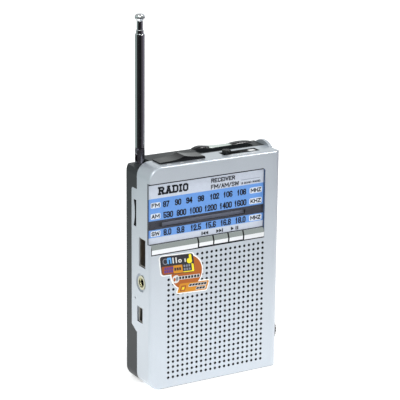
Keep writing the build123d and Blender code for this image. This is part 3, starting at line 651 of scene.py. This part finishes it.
lettering("front_word", "RADIO", (-21.9, 94.8), (15.2, 3.7), letter_plane, LETTER_INK, 0.85,
          serifs=True)
lettering("type_word", "RECEIVER", (3.9, 95.9), (12.6, 2.0), letter_plane, LETTER_INK, 0.4)
lettering("bands_list", "FM/AM/SW", (4.9, 92.95), (14.8, 2.1), letter_plane, LETTER_INK, 0.38)
lettering("small_words", "3 BAND RADIO", (18.7, 92.6), (10.2, 0.95), letter_plane, LETTER_INK, 0.2)
print_shape("small_rule", bar(13.4, 23.6, 94.1, 94.25), letter_plane, EDGE_LINE)


def triangle(x, z, size, way):
    """Corners of a triangle that points left (-1) or right (1)."""
    return [(x, z - size / 2), (x, z + size / 2), (x + way * size * 0.85, z)]


SYMBOL_Z = 71.7
MARK = 1.7                        # height of a symbol over a button
STRIPE = 0.5


def stripe(x):
    """Corners of a symbol's upright stroke, from its left edge."""
    return bar(x, x + STRIPE, SYMBOL_Z - MARK / 2, SYMBOL_Z + MARK / 2)


marks = {
    "previous": (triangle(-5.2, SYMBOL_Z, MARK, -1), triangle(-3.7, SYMBOL_Z, MARK, -1),
                 stripe(-7.2)),
    "next": (triangle(0.6, SYMBOL_Z, MARK, 1), triangle(2.1, SYMBOL_Z, MARK, 1), stripe(3.6)),
    "play": (triangle(8.4, SYMBOL_Z, MARK * 1.1, 1), stripe(10.9), stripe(11.8)),
}
for name, shapes in marks.items():
    for index, shape in enumerate(shapes):
        print_shape(f"mark_{name}_{index}", shape, letter_plane, LETTER_INK)


# ---------------------------------------------------------------------------
# Ends of the clear window, painted with darker copies of the print's colours as shade where the
# print shows through the lens end
# ---------------------------------------------------------------------------
# Painted shade: darker copies of the print's grey, blue and black on the lens end.
PAINTED_END_GREY = ink("painted_end_grey", srgb(150, 158, 168), roughness=0.2)
PAINTED_END_BLUE = ink("painted_end_blue", srgb(52, 92, 160), roughness=0.2)
PAINTED_END_BLACK = ink("painted_end_black", srgb(30, 32, 44), roughness=0.2)
edge_plane = on_left(lens_low.x - 0.005 * MM)
EDGE_Y = (0.68, 1.16)             # depth of the strips behind the front face
lens_bottom, lens_top = lens_low.z / MM, lens_high.z / MM
for name, z0, z1, material in (
    ("edge_top", BLUE_TOP, lens_top - 0.3, PAINTED_END_GREY),
    ("edge_upper_blue", BLUE_BOTTOM, BLUE_TOP, PAINTED_END_BLUE),
    ("edge_band", BLACK_BOTTOM, BLUE_BOTTOM, PAINTED_END_BLACK),
    ("edge_lower_blue", LOWER_BLUE_BOTTOM, BLACK_BOTTOM, PAINTED_END_BLUE),
    ("edge_bottom", lens_bottom + 0.1, LOWER_BLUE_BOTTOM, PAINTED_END_GREY),
):
    print_shape(name, bar(*EDGE_Y, z0, z1), edge_plane, material)


# ---------------------------------------------------------------------------
# Sticker print: plain shapes in place of words and figures
# ---------------------------------------------------------------------------
def sticker_ink(name, *color):
    return ink(name, srgb(*color), roughness=0.3)


STICKER = {
    "black": sticker_ink("label_black", 34, 32, 38),
    "brown": sticker_ink("label_brown", 146, 66, 8),
    "orange": sticker_ink("label_orange", 164, 84, 4),
    "amber": sticker_ink("label_amber", 196, 128, 2),
    "yellow": sticker_ink("label_yellow", 232, 212, 24),
    "white": sticker_ink("label_white", 210, 210, 208),
    "cyan": sticker_ink("label_cyan", 84, 154, 214),
    "purple": sticker_ink("label_purple", 88, 52, 120),
    "grey": sticker_ink("label_grey", 120, 122, 132),
}


LAYER_STEP, LAYER_THICKNESS = 0.014, 0.01


def sticker_shape(name, outline, color, layer):
    """A shape on the sticker; a higher layer lies over a lower one."""
    plane = on_front(label_low.y - layer * LAYER_STEP * MM)
    print_shape(name, outline, plane, STICKER[color], LAYER_THICKNESS)


def slanted(middle, along, up):
    """Rounded rectangles on a slanted field, given its middle, its rise along and its lean up."""
    def shape(u0, u1, v0, v1, radius):
        return [(middle[0] + u + v * up, middle[1] + v + u * along)
                for u, v in rounded(u0, u1, v0, v1, radius)]
    return shape


def word_row(name, field, start, step, count, size, low, radius, color, layer):
    """A row of small blocks in place of a word."""
    for index in range(count):
        u = start + index * step
        block = field(u, u + size[0], low, low + size[1], radius)
        sticker_shape(f"{name}_{index}", block, color, layer)


on_card = slanted((-20.57, 59.52), -0.045, -0.126)
on_strip = slanted((-12.2, 47.5), -0.048, 0.333)
on_disc = slanted((-15.6, 52.6), -0.045, 0.0)

sticker_shape("label_disc", ellipse(-15.6, 55.0, 8.0, 8.0), "orange", 0)
sticker_shape("label_disc_words", on_disc(-4.6, 6.9, -0.8, 0.85, 0.2), "white", 1)
word_row("label_disc_word", on_disc, -4.1, 1.58, 7, (1.25, 1.25), -0.6, 0.15, "black", 2)
sticker_shape("label_emblem", ellipse(-21.3, 52.5, 1.9, 1.9), "white", 2)
sticker_shape("label_emblem_left", ellipse(-22.0, 52.4, 0.6, 0.9), "orange", 3)
sticker_shape("label_emblem_right", ellipse(-20.7, 52.6, 0.6, 1.1), "grey", 3)

sticker_shape("label_strip", on_strip(-7.68, 7.68, -2.15, 2.15, 0.6), "amber", 3)
sticker_shape("label_strip_top", on_strip(-2.6, 6.9, 0.2, 1.6, 0.3), "white", 4)
sticker_shape("label_strip_low", on_strip(1.8, 6.9, -1.6, -0.25, 0.3), "white", 4)
for row, (start, low, count) in enumerate(((-2.4, 0.45, 6), (2.0, -1.4, 3))):
    word_row(f"label_strip_word_{row}", on_strip, start, 1.55, count, (1.35, 1.0), low, 0.15,
             "black", 5)
sticker_shape("label_cell", on_strip(-6.6, -3.9, -1.5, 1.1, 0.4), "brown", 5)
sticker_shape("label_cell_face", on_strip(-6.1, -4.4, -1.1, 0.6, 0.3), "amber", 6)
sticker_shape("label_cell_mark", on_strip(-5.7, -4.7, -0.7, 0.3, 0.2), "yellow", 7)

sticker_shape("label_card", on_card(-8.65, 8.65, -4.5, 4.5, 1.2), "black", 6)
for name, u0, u1, color, layer in (
    ("left", -8.3, -1.6, "brown", 7), ("mid", -2.4, 3.2, "amber", 8),
    ("right", 2.6, 8.35, "yellow", 9),
):
    sticker_shape(f"label_card_band_{name}", on_card(u0, u1, -4.2, -0.35, 0.6), color, layer)
sticker_shape("label_card_block", on_card(2.4, 7.2, -3.7, -0.1, 0.5), "black", 10)
for row, low in enumerate((-3.3, -1.65)):
    word_row(f"label_block_word_{row}", on_card, 3.0, 1.3, 3, (0.9, 1.1), low, 0.2, "grey", 11)
for row, (start, low) in enumerate(((-7.2, -3.5), (-6.9, -2.05))):
    word_row(f"label_band_word_{row}", on_card, start, 1.2, 4, (1.0, 1.2), low, 0.2, "purple", 9)
word_row("label_mid_word", on_card, -1.9, 1.25, 3, (1.0, 1.4), -2.9, 0.2, "black", 10)
sticker_shape("label_ring", on_card(-7.4, -4.7, 0.5, 3.4, 1.3), "grey", 7)
sticker_shape("label_ring_face", on_card(-7.0, -5.1, 0.9, 3.0, 0.9), "black", 8)
sticker_shape("label_note", on_card(-5.1, -2.9, 0.7, 3.7, 0.4), "cyan", 9)
sticker_shape("label_note_gap", on_card(-4.3, -3.6, 0.3, 2.7, 0.2), "black", 10)
for index, (u, width, height) in enumerate(((-2.3, 0.6, 2.8), (-0.7, 0.6, 2.8), (3.9, 0.6, 1.7))):
    word = on_card(u, u + width, 0.7, 0.7 + height, 0.2)
    sticker_shape(f"label_card_word_{index}", word, "white", 7)
sticker_shape("label_card_ring", on_card(0.6, 2.4, 0.7, 2.4, 0.8), "white", 7)
sticker_shape("label_card_ring_face", on_card(1.15, 1.85, 1.15, 1.95, 0.3), "black", 8)
sticker_shape("label_card_drop", on_card(5.0, 7.7, -0.1, 2.4, 1.1), "yellow", 11)
sticker_shape("label_card_drop_stem", on_card(6.3, 7.6, 1.6, 4.3, 0.6), "yellow", 12)


# ---------------------------------------------------------------------------
# Marks on the top, in front of the two switches, and a painted highlight on the function switch
# ---------------------------------------------------------------------------
MARK_INK = ink("mark_ink", srgb(252, 252, 252), roughness=0.3)
TOP_LETTER_WIDTH, TOP_LETTER_HEIGHT = 0.95, 1.15
TOP_ROW_Y = 2.75                  # depth of the row of marks behind the front face
top_plane = on_top(shell_top_z + 0.004 * MM)
for name, text, x in (
    ("top_fm", "FM", -23.5), ("top_am", "AM", -17.0), ("top_sw", "SW", -8.0),
    ("top_off", "OFF", 8.6), ("top_radio", "RADIO", 14.6), ("top_player", "USB", 20.8),
):
    width = TOP_LETTER_WIDTH * len(text)
    lettering(name, text, (x, TOP_ROW_Y), (width, TOP_LETTER_HEIGHT), top_plane, MARK_INK, 0.22)
# Painted highlight: a small white patch on the function switch plate, drawn as an index mark.
highlight_plane = on_top(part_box("function_switch_plate")[1].z + 0.002 * MM)
print_shape("function_switch_painted_highlight", rounded(20.9, 24.2, 6.2, 8.4, 0.4), highlight_plane, MARK_INK)


# ---------------------------------------------------------------------------
# Floor, light and camera
# ---------------------------------------------------------------------------
FLOOR_SIZE = 8.0
FLOOR_GLOW = 0.55                 # keeps the pale floor from greying away from the lights


def floor():
    """A plain pale floor, slightly lit from within."""
    bpy.ops.mesh.primitive_plane_add(size=FLOOR_SIZE, location=(0, 0, 0))
    ground = bpy.context.object
    ground.name = "floor"
    look = Look("floor").set(roughness=0.6, specular=0.2)
    look.shader.inputs["Emission Color"].default_value = (1.0, 1.0, 1.0, 1.0)
    look.shader.inputs["Emission Strength"].default_value = FLOOR_GLOW
    look.vary_color(look.noise(6.0), (0.90, 0.90, 0.90), (0.93, 0.93, 0.93))
    ground.data.materials.append(look.material)


def area_light(name, place, target, size, power, color=(1.0, 1.0, 1.0)):
    """A soft light panel that faces its target."""
    data = bpy.data.lights.new(name, "AREA")
    data.shape = "RECTANGLE"
    data.size, data.size_y = size
    data.energy = power
    data.color = color
    lamp = bpy.data.objects.new(name, data)
    lamp.location = place
    lamp.rotation_euler = (Vector(target) - Vector(place)).to_track_quat("-Z", "Y").to_euler()
    bpy.context.scene.collection.objects.link(lamp)


def compass_colors(tree, direction, stops):
    """Colours by compass direction, and the height: stops are degrees from the front rightwards."""
    parts = tree.nodes.new("ShaderNodeSeparateXYZ")
    tree.links.new(direction, parts.inputs[0])
    away = tree.nodes.new("ShaderNodeMath")
    away.operation = "MULTIPLY"
    away.inputs[1].default_value = -1.0
    tree.links.new(parts.outputs["Y"], away.inputs[0])
    angle = tree.nodes.new("ShaderNodeMath")
    angle.operation = "ARCTAN2"
    tree.links.new(parts.outputs["X"], angle.inputs[0])
    tree.links.new(away.outputs[0], angle.inputs[1])
    turn = tree.nodes.new("ShaderNodeMapRange")
    turn.inputs["From Min"].default_value = -math.pi
    turn.inputs["From Max"].default_value = math.pi
    tree.links.new(angle.outputs[0], turn.inputs["Value"])
    ramp = tree.nodes.new("ShaderNodeValToRGB")
    ramp.color_ramp.interpolation = "EASE"
    elements = ramp.color_ramp.elements
    while len(elements) > 1:
        elements.remove(elements[-1])
    for index, (degrees, color) in enumerate(stops):
        position = (degrees + 180.0) / 360.0
        stop = elements[0] if index == 0 else elements.new(position)
        stop.position = position
        stop.color = (*color, 1.0)
    tree.links.new(turn.outputs["Result"], ramp.inputs["Fac"])
    return ramp.outputs["Color"], parts.outputs["Z"]


def world():
    """A bright studio, darker towards the front, under a bright ceiling."""
    sky = bpy.data.worlds.new("studio")
    bpy.context.scene.world = sky
    sky.use_nodes = True
    tree = sky.node_tree
    direction = tree.nodes.new("ShaderNodeTexCoord").outputs["Generated"]
    walls, height = compass_colors(tree, direction, STUDIO_WALLS)
    ceiling = tree.nodes.new("ShaderNodeMapRange")
    ceiling.inputs["From Min"].default_value = 0.5
    ceiling.inputs["From Max"].default_value = 0.75
    tree.links.new(height, ceiling.inputs["Value"])
    mix = tree.nodes.new("ShaderNodeMix")
    mix.data_type = "RGBA"
    mix.inputs["B"].default_value = (*CEILING, 1.0)
    tree.links.new(ceiling.outputs["Result"], mix.inputs["Factor"])
    tree.links.new(walls, mix.inputs["A"])
    tree.links.new(mix.outputs["Result"], tree.nodes["Background"].inputs["Color"])


def floor_flag():
    """A ring of dark cloth on the floor, met only by reflections, that the plated parts show."""
    mesh = bmesh.new()
    steps = 96
    rings = []
    for radius in (FLAG_START, FLAG_END):
        circle = ellipse(0.0, 0.0, radius, radius, steps)
        rings.append([mesh.verts.new((x, y, FLAG_HEIGHT)) for x, y in circle])
    for step in range(steps):
        after = (step + 1) % steps
        mesh.faces.new((rings[0][step], rings[1][step], rings[1][after], rings[0][after]))
    data = bpy.data.meshes.new("floor_flag")
    mesh.to_mesh(data)
    mesh.free()
    ring = bpy.data.objects.new("floor_flag", data)
    bpy.context.scene.collection.objects.link(ring)
    look = Look("floor_flag")
    look.tree.nodes.remove(look.shader)
    cloth = look.node("ShaderNodeEmission")
    colors = compass_colors(look.tree, look.place(), FLAG_COLORS)[0]
    look.link(colors, cloth.inputs["Color"])
    length = look.node("ShaderNodeVectorMath", operation="LENGTH")
    look.link(look.place(), length.inputs[0])
    amount = look.spread(length.outputs["Value"], 0.0, 1.0, FLAG_START, FLAG_FULL)
    mix = look.node("ShaderNodeMixShader")
    look.link(amount, mix.inputs["Fac"])
    look.link(look.node("ShaderNodeBsdfTransparent").outputs["BSDF"], mix.inputs[1])
    look.link(cloth.outputs["Emission"], mix.inputs[2])
    look.link(mix.outputs["Shader"], look.output.inputs["Surface"])
    data.materials.append(look.material)
    ring.visible_camera = False
    ring.visible_diffuse = False
    ring.visible_shadow = False
    ring.visible_transmission = False


# Studio levels, by degrees round from the front (negative to the left).
STUDIO_WALLS = (
    (-180, (0.45, 0.46, 0.47)), (-75, (0.52, 0.62, 0.58)), (-50, (0.40, 0.42, 0.42)),
    (-30, (0.16, 0.16, 0.17)), (10, (0.38, 0.42, 0.40)), (60, (0.46, 0.50, 0.47)),
    (110, (0.6, 0.62, 0.7)), (150, (0.80, 0.84, 0.84)), (180, (0.6, 0.62, 0.63)),
)
CEILING = (0.5, 0.5, 0.5)
FLAG_START, FLAG_FULL, FLAG_END = 0.08, 0.40, 3.5     # radii: bare, fully dark, rim
FLAG_HEIGHT = 0.001
FLAG_COLORS = (
    (-180, (0.27, 0.32, 0.31)), (-110, (0.27, 0.33, 0.32)), (-94, (0.02, 0.02, 0.02)),
    (0, (0.01, 0.01, 0.012)), (14, (0.08, 0.07, 0.08)), (50, (0.10, 0.09, 0.11)),
    (80, (0.30, 0.28, 0.34)), (95, (0.07, 0.06, 0.08)), (130, (0.10, 0.09, 0.11)),
    (150, (0.27, 0.32, 0.31)), (180, (0.27, 0.32, 0.31)),
)

AZIMUTH, ELEVATION, ROLL, DISTANCE = -30.475, 16.314, 0.558, 0.813
AIM = Vector((4.5, 11.1, 80.4)) * MM
FOCAL_LENGTH, SENSOR_WIDTH = 156.83, 36.0


def camera():
    """A long lens in front, to the left and a little above."""
    azimuth, elevation = math.radians(AZIMUTH), math.radians(ELEVATION)
    back = Vector((math.sin(azimuth) * math.cos(elevation),
                   -math.cos(azimuth) * math.cos(elevation), math.sin(elevation)))
    data = bpy.data.cameras.new("camera")
    data.lens, data.sensor_width = FOCAL_LENGTH, SENSOR_WIDTH
    data.clip_start, data.clip_end = 0.01, 20.0
    eye = bpy.data.objects.new("camera", data)
    eye.rotation_mode = "QUATERNION"
    eye.location = AIM + back * DISTANCE
    roll = Matrix.Rotation(math.radians(ROLL), 4, back).to_quaternion()
    eye.rotation_quaternion = roll @ (-back).to_track_quat("-Z", "Y")
    bpy.context.scene.collection.objects.link(eye)
    bpy.context.scene.camera = eye


bpy.context.scene.view_settings.view_transform = "Standard"
floor()
world()
floor_flag()
area_light("key", (-0.55, -1.25, 0.75), (0, 0, 0.06), (0.9, 0.7), 6.6, (0.98, 0.98, 1.0))
area_light("side", (-1.3, 0.1, 0.5), (0, 0, 0.06), (0.8, 0.6), 0.3, (0.8, 1.0, 0.93))
area_light("left_high", (-0.85, -0.35, 1.15), (0, 0, 0.08), (0.3, 0.3), 3.0)
area_light("right_high", (0.68, -0.39, 1.16), (0, 0, 0.08), (0.24, 0.24), 5.5)
camera()
